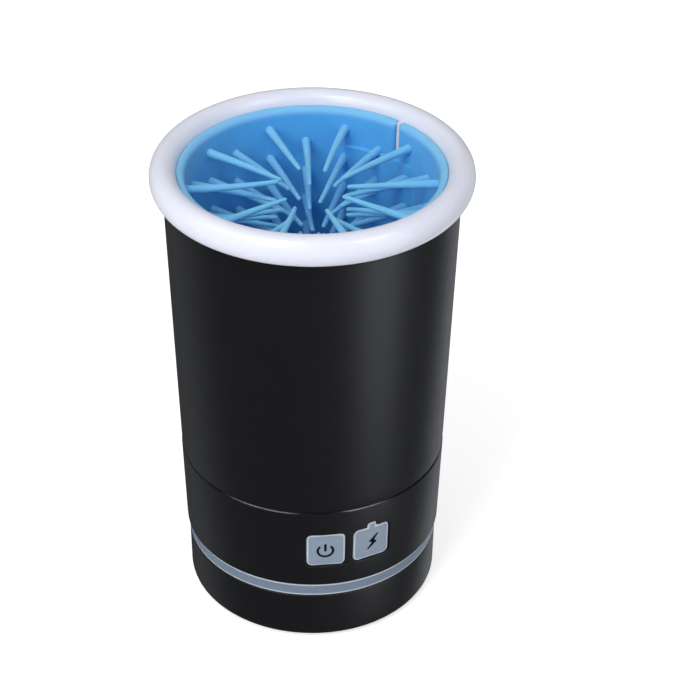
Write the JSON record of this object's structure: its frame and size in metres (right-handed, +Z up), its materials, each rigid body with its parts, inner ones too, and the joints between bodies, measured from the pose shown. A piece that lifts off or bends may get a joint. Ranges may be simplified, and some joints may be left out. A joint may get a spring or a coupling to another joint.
{
  "type": "paw washer cup",
  "caption": "Tapered upright cup with a rolled rim, a bristled silicone brush lining and a motor drive in its base, for washing a dog's paw.",
  "frame": {"origin": "centre of the plane the rubber feet stand on", "axes": "+Z up along the cup's axis, -Y towards the front with the power key, +X to the right seen from the front"},
  "size_m": [0.104, 0.104, 0.164],
  "materials": {
    "black": "satin black",
    "white": "glossy, slightly translucent white",
    "blue_silicone": "matte blue silicone",
    "frosted": "frosted grey-blue light pipe",
    "black_rubber": "matte black rubber",
    "steel": "bright steel",
    "brass": "machined",
    "nylon": "natural nylon",
    "grey": "moulded grey",
    "board": "green solder mask",
    "red": "moulded red",
    "wrap": "shrink-wrapped cell"
  },
  "bodies": {
    "housing": {"outer_shell": "black", "shell_seal": "black_rubber", "shell_screw_1": "steel", "shell_screw_2": "steel", "shell_screw_3": "steel", "charge_lens": "frosted", "base_housing": "black", "light_ring": "frosted", "led_strip": "nylon", "ring_led_1": "white", "ring_led_2": "white", "ring_led_3": "white", "ring_led_4": "white", "ring_led_5": "white", "ring_led_6": "white", "base_cover": "black", "foot_pad_1": "black_rubber", "foot_pad_2": "black_rubber", "foot_pad_3": "black_rubber", "foot_pad_4": "black_rubber", "cover_screw_1": "steel", "cover_screw_2": "steel", "cover_screw_3": "steel", "cover_screw_4": "steel", "shaft_bearing": "steel", "shaft_seal": "black_rubber", "lower_bush": "brass", "idler_pin": "steel", "motor_can": "steel", "motor_screw_1": "steel", "motor_screw_2": "steel", "gear_plate": "grey", "plate_screw_1": "steel", "plate_screw_2": "steel", "plate_screw_3": "steel", "battery_cell": "wrap", "battery_cradle": "grey", "control_board": "board", "tact_switch": "black", "power_led": "white", "charge_led": "white", "control_chip": "black", "board_screw_1": "steel", "board_screw_2": "steel", "charge_port": "steel", "port_board": "board", "motor_wire_red": "red", "motor_wire_black": "black_rubber"},
    "drive": {"output_shaft": "steel", "output_gear": "nylon", "drive_hub": "nylon", "hub_screw": "steel"},
    "wash_cup": {"wash_cup": "white"},
    "brush": {"brush_sleeve": "blue_silicone"},
    "idler": {"idler_gear": "nylon"},
    "pinion": {"motor_shaft": "steel", "motor_pinion": "brass"},
    "power_key": {"power_button": "frosted"},
    "switch_plunger": {"switch_plunger": "red"},
    "port_plug": {"port_plug": "black_rubber"}
  },
  "joints": [
    {"name": "drive_spin", "type": "hinge", "parent": "housing", "child": "drive", "pos_m": [0, 0, 0.05], "axis": [0, 0, 1], "continuous": true},
    {"name": "idler_spin", "type": "hinge", "parent": "housing", "child": "idler", "pos_m": [-0.01032, -0.01748, 0.044], "axis": [0, 0, 1], "continuous": true},
    {"name": "pinion_spin", "type": "hinge", "parent": "housing", "child": "pinion", "pos_m": [-0.0175, 0, 0.04], "axis": [0, 0, 1], "continuous": true},
    {"name": "cup_lift", "type": "slide", "parent": "drive", "child": "wash_cup", "axis": [0, 0, 1], "range_m": [0, 0.11]},
    {"name": "brush_lift", "type": "slide", "parent": "wash_cup", "child": "brush", "axis": [0, 0, 1], "range_m": [0, 0.1]},
    {"name": "power_press", "type": "slide", "parent": "housing", "child": "power_key", "axis": [-0.1045, 0.9945, 0], "range_m": [0, 0.0006]},
    {"name": "plunger_press", "type": "slide", "parent": "housing", "child": "switch_plunger", "axis": [-0.1045, 0.9945, 0], "range_m": [0, 0.0006]},
    {"name": "plug_pull", "type": "slide", "parent": "housing", "child": "port_plug", "axis": [0, 1, 0], "range_m": [0, 0.02]}
  ],
  "couplings": [
    {"joint": "idler_spin", "follows": "drive_spin", "ratio": -4.8},
    {"joint": "pinion_spin", "follows": "drive_spin", "ratio": 21.12},
    {"joint": "plunger_press", "follows": "power_press", "ratio": 1}
  ]
}
